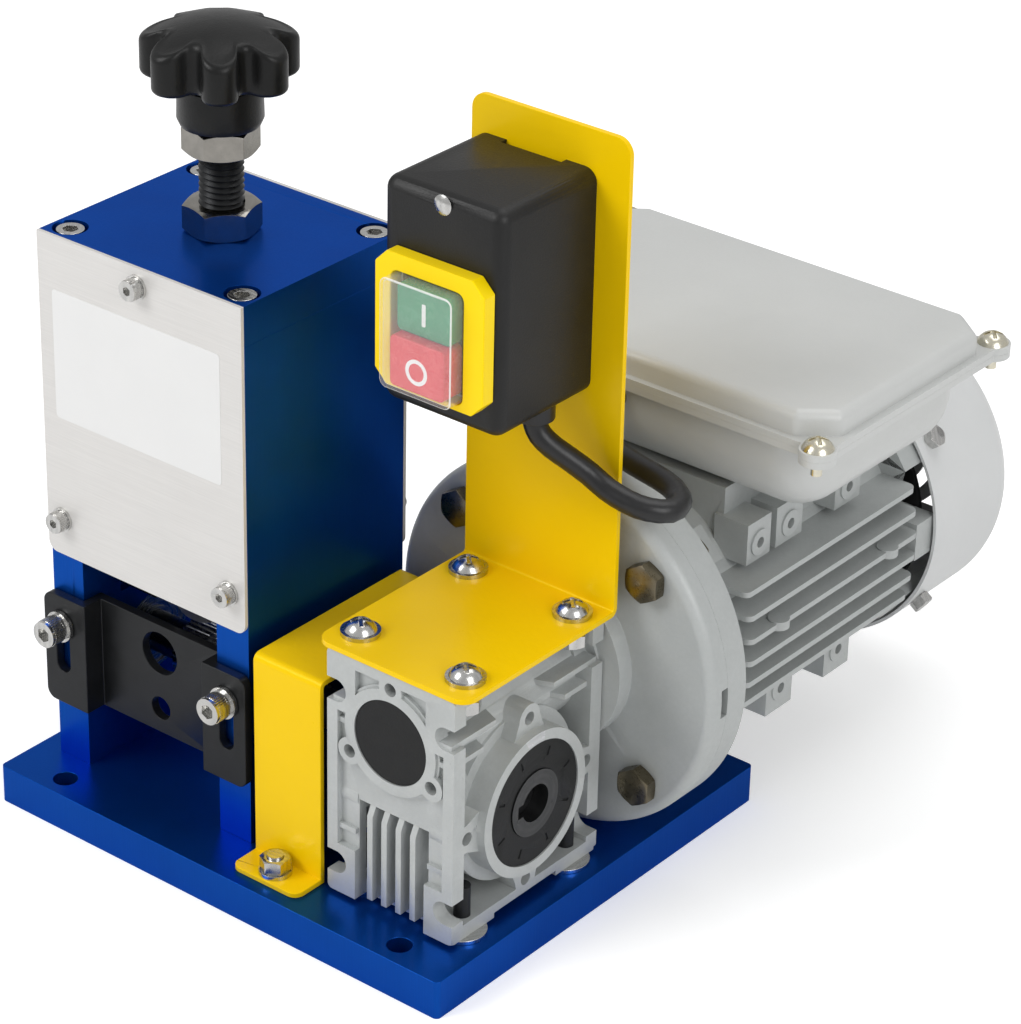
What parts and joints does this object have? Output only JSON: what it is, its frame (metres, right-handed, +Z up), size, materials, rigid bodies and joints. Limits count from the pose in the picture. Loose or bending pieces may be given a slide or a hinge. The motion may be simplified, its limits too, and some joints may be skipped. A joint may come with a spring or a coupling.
{
  "type": "electric wire stripping machine",
  "caption": "Bench wire stripper: motor and worm gearbox turn a feed roller under a round blade set by a star knob, with switch box and yellow guards.",
  "frame": {"origin": "centre of the base plate's underside", "axes": "+Z up, -Y towards the user, who feeds wire from the front; +X towards the gearbox and switch side"},
  "size_m": [0.2596, 0.315, 0.3031],
  "materials": {
    "blue_paint": "semi-gloss blue",
    "yellow_paint": "gloss yellow",
    "cover_sheet": "satin",
    "cast_grey": "cast, light grey",
    "motor_grey": "light grey paint on cast metal",
    "cowl_grey": "pale grey paint",
    "black_steel": "black oxide",
    "zinc": "bright zinc",
    "yellow_zinc": "yellow zinc",
    "steel": "ground",
    "blade_steel": "ground edge",
    "knob_plastic": "satin black",
    "switch_plastic": "black, grained",
    "yellow_plastic": "gloss",
    "clear_boot": "clear soft plastic",
    "green_plastic": "gloss",
    "red_plastic": "gloss",
    "cable_rubber": "black",
    "seal_rubber": "black",
    "bronze": "machined",
    "winding": "varnished copper"
  },
  "bodies": {
    "machine_frame": {"base_plate": "blue_paint", "head_side_left": "blue_paint", "head_side_right": "blue_paint", "head_top": "blue_paint", "head_screws": "zinc", "front_cover": "cover_sheet", "back_cover": "cover_sheet", "cover_screws": "zinc", "guide_screws": "zinc", "lock_nut": "steel", "ball_bearings": "steel", "shaft_cover": "yellow_paint", "shaft_cover_nuts": "zinc", "gearbox_housing": "cast_grey", "worm_cap": "seal_rubber", "output_seals": "seal_rubber", "gearbox_bolts": "black_steel", "foot_washers": "zinc", "input_flange": "motor_grey", "flange_bolts": "yellow_zinc", "switch_bracket": "yellow_paint", "bracket_screws": "zinc", "switch_box": "switch_plastic", "switch_box_screw": "zinc", "switch_bezel": "yellow_plastic", "button_boot": "clear_boot", "contact_block": "switch_plastic", "motor_cable": "cable_rubber", "cable_glands": "cable_rubber", "motor_flange": "motor_grey", "stator_housing": "motor_grey", "stator_core": "winding", "rear_end_shield": "motor_grey", "fan_cowl": "cowl_grey", "cowl_screws": "zinc", "terminal_box": "motor_grey", "terminal_lid": "motor_grey", "lid_screws": "yellow_zinc", "capacitor": "switch_plastic"},
    "guide": {"wire_guide": "black_steel"},
    "carriage": {"blade_carriage": "steel", "retaining_plate": "steel", "retaining_screws": "zinc", "blade_bearings": "steel"},
    "blade_set": {"blade": "blade_steel", "blade_shaft": "steel", "blade_nut": "black_steel"},
    "screw": {"tension_screw": "black_steel", "knob_collar": "zinc", "star_knob": "knob_plastic"},
    "output": {"worm_wheel": "bronze", "output_hub": "steel", "feed_shaft": "steel", "drive_key": "steel", "feed_roller": "steel"},
    "motor_rotor": {"rotor": "steel", "worm": "steel", "fan": "knob_plastic"},
    "start_button_body": {"start_button": "green_plastic"},
    "stop_button_body": {"stop_button": "red_plastic"}
  },
  "joints": [
    {"name": "guide_slide", "type": "slide", "parent": "machine_frame", "child": "guide", "axis": [0, 0, 1], "range_m": [0, 0.016]},
    {"name": "carriage_slide", "type": "slide", "parent": "machine_frame", "child": "carriage", "axis": [0, 0, 1], "range_m": [-0.0035, 0.02]},
    {"name": "knob_turn", "type": "hinge", "parent": "carriage", "child": "screw", "pos_m": [-0.0475, -0.0278, 0.2], "axis": [0, 0, 1], "range_deg": [-635, 3605]},
    {"name": "blade_spin", "type": "hinge", "parent": "carriage", "child": "blade_set", "pos_m": [-0.0475, -0.0278, 0.10234], "axis": [1, 0, 0], "continuous": true},
    {"name": "motor_spin", "type": "hinge", "parent": "machine_frame", "child": "motor_rotor", "pos_m": [0.0676, 0.1, 0.0866], "axis": [0, 1, 0], "continuous": true},
    {"name": "output_spin", "type": "hinge", "parent": "machine_frame", "child": "output", "pos_m": [0.0676, -0.0327, 0.0566], "axis": [1, 0, 0], "continuous": true},
    {"name": "start_button_press", "type": "slide", "parent": "machine_frame", "child": "start_button_body", "axis": [0, 1, 0], "range_m": [0, 0.003], "stiffness_N_per_m": 400, "springref_m": -0.001},
    {"name": "stop_button_press", "type": "slide", "parent": "machine_frame", "child": "stop_button_body", "axis": [0, 1, 0], "range_m": [0, 0.003], "stiffness_N_per_m": 400, "springref_m": -0.001}
  ],
  "couplings": [
    {"joint": "output_spin", "follows": "motor_spin", "ratio": 0.033333},
    {"joint": "knob_turn", "follows": "carriage_slide", "rad_per_m": 3141.6}
  ]
}
